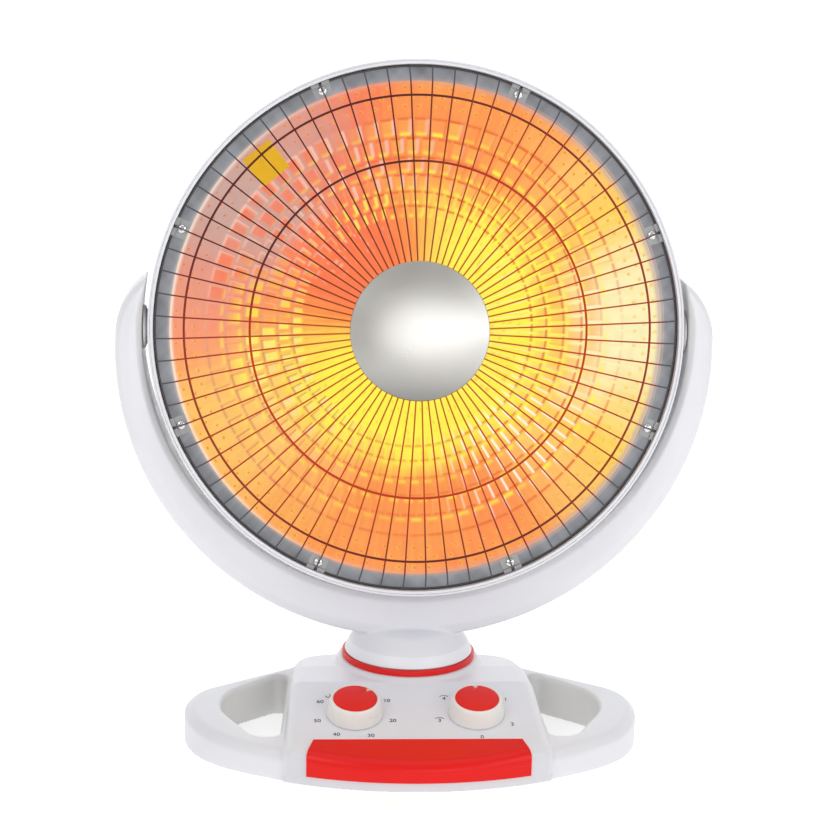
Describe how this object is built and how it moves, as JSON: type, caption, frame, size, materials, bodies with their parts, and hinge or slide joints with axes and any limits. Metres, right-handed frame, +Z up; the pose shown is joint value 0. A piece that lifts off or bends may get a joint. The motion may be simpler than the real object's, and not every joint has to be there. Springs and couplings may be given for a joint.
{
  "type": "parabolic dish heater",
  "caption": "Dish heater with a wire guard and centre disc, tilting in a yoke that swings on an oval base with a handle opening at each end, a timer dial and a mode dial.",
  "frame": {"origin": "on the surface that the heater stands on, where the vertical swivel axis meets it", "axes": "+Z up along the swivel axis, -Y towards the front (dials and dish mouth), +X to the right seen from the front"},
  "size_m": [0.418, 0.2442, 0.4745],
  "materials": {
    "shell_plastic": "satin",
    "red_plastic": "gloss",
    "dark_plastic": "matte",
    "inner_plastic": "matte",
    "soft_rubber": "matte",
    "dish_metal": "gloss",
    "guard_wire": "gloss",
    "brushed_disc": "satin",
    "plated_steel": "gloss",
    "zinc_steel": "satin",
    "ceramic_body": "matte",
    "hot_coil": "matte"
  },
  "bodies": {
    "base": {"base_top_shell": "shell_plastic", "base_bottom_plate": "shell_plastic", "rubber_feet": "soft_rubber", "base_screws": "plated_steel", "red_ring": "red_plastic", "front_trim": "red_plastic", "cord_grommet": "soft_rubber", "swivel_washer": "inner_plastic", "timer_body": "dark_plastic", "mode_switch": "dark_plastic", "control_nuts": "plated_steel", "swing_motor": "zinc_steel", "motor_posts": "zinc_steel", "tip_switch": "dark_plastic"},
    "swivel": {"yoke_front": "shell_plastic", "yoke_rear_cover": "shell_plastic", "yoke_screws": "plated_steel", "pivot_bushes": "inner_plastic", "swivel_neck": "shell_plastic", "neck_screws": "plated_steel", "swing_lever": "inner_plastic", "lever_screws": "plated_steel"},
    "head": {"reflector": "dish_metal", "front_bezel": "shell_plastic", "rear_housing": "shell_plastic", "guard_radial_wires": "guard_wire", "guard_rings": "guard_wire", "guard_hoop": "guard_wire", "guard_disc": "brushed_disc", "guard_clips": "plated_steel", "clip_screws": "plated_steel", "heater_socket": "ceramic_body", "heater_core": "ceramic_body", "heating_coil": "hot_coil", "socket_bracket": "zinc_steel", "bracket_posts": "zinc_steel", "thermal_cutout": "zinc_steel", "terminal_block": "dark_plastic", "pivot_brackets": "zinc_steel", "pivot_nuts": "plated_steel", "friction_washers": "inner_plastic", "pivot_bolts": "plated_steel"},
    "timer_dial": {"timer_knob": "shell_plastic", "timer_cap": "red_plastic", "timer_shaft": "dark_plastic"},
    "mode_dial": {"mode_knob": "shell_plastic", "mode_cap": "red_plastic", "mode_shaft": "dark_plastic"},
    "crank": {"crank_disc": "inner_plastic"},
    "link": {"link_rod": "inner_plastic"},
    "plunger": {"tip_plunger": "dark_plastic"}
  },
  "joints": [
    {"name": "swing", "type": "hinge", "parent": "base", "child": "swivel", "pos_m": [0, 0, 0.051], "axis": [0, 0, 1], "range_deg": [-40, 40]},
    {"name": "tilt", "type": "hinge", "parent": "swivel", "child": "head", "pos_m": [0, 0, 0.2875], "axis": [1, 0, 0], "range_deg": [-16, 19]},
    {"name": "timer_turn", "type": "hinge", "parent": "base", "child": "timer_dial", "pos_m": [-0.042, -0.086, 0.03435], "axis": [0, 0.2588, -0.9659], "range_deg": [-84.5, 257]},
    {"name": "mode_turn", "type": "hinge", "parent": "base", "child": "mode_dial", "pos_m": [0.042, -0.086, 0.03435], "axis": [0, 0.2588, -0.9659], "continuous": true},
    {"name": "crank_turn", "type": "hinge", "parent": "base", "child": "crank", "pos_m": [0.00514, -0.046, 0.026], "axis": [0, 0, 1], "range_deg": [-90, 90]},
    {"name": "link_turn", "type": "hinge", "parent": "crank", "child": "link", "pos_m": [0.018, -0.046, 0.0296], "axis": [0, 0, 1], "range_deg": [-90, 90]},
    {"name": "tip_travel", "type": "slide", "parent": "base", "child": "plunger", "axis": [0, 0, -1], "range_m": [0, 0.004], "stiffness_N_per_m": 100, "springref_m": 0.008}
  ],
  "couplings": [
    {"joint": "crank_turn", "follows": "swing", "ratio": 2.25},
    {"joint": "link_turn", "follows": "swing", "ratio": -2.25}
  ]
}
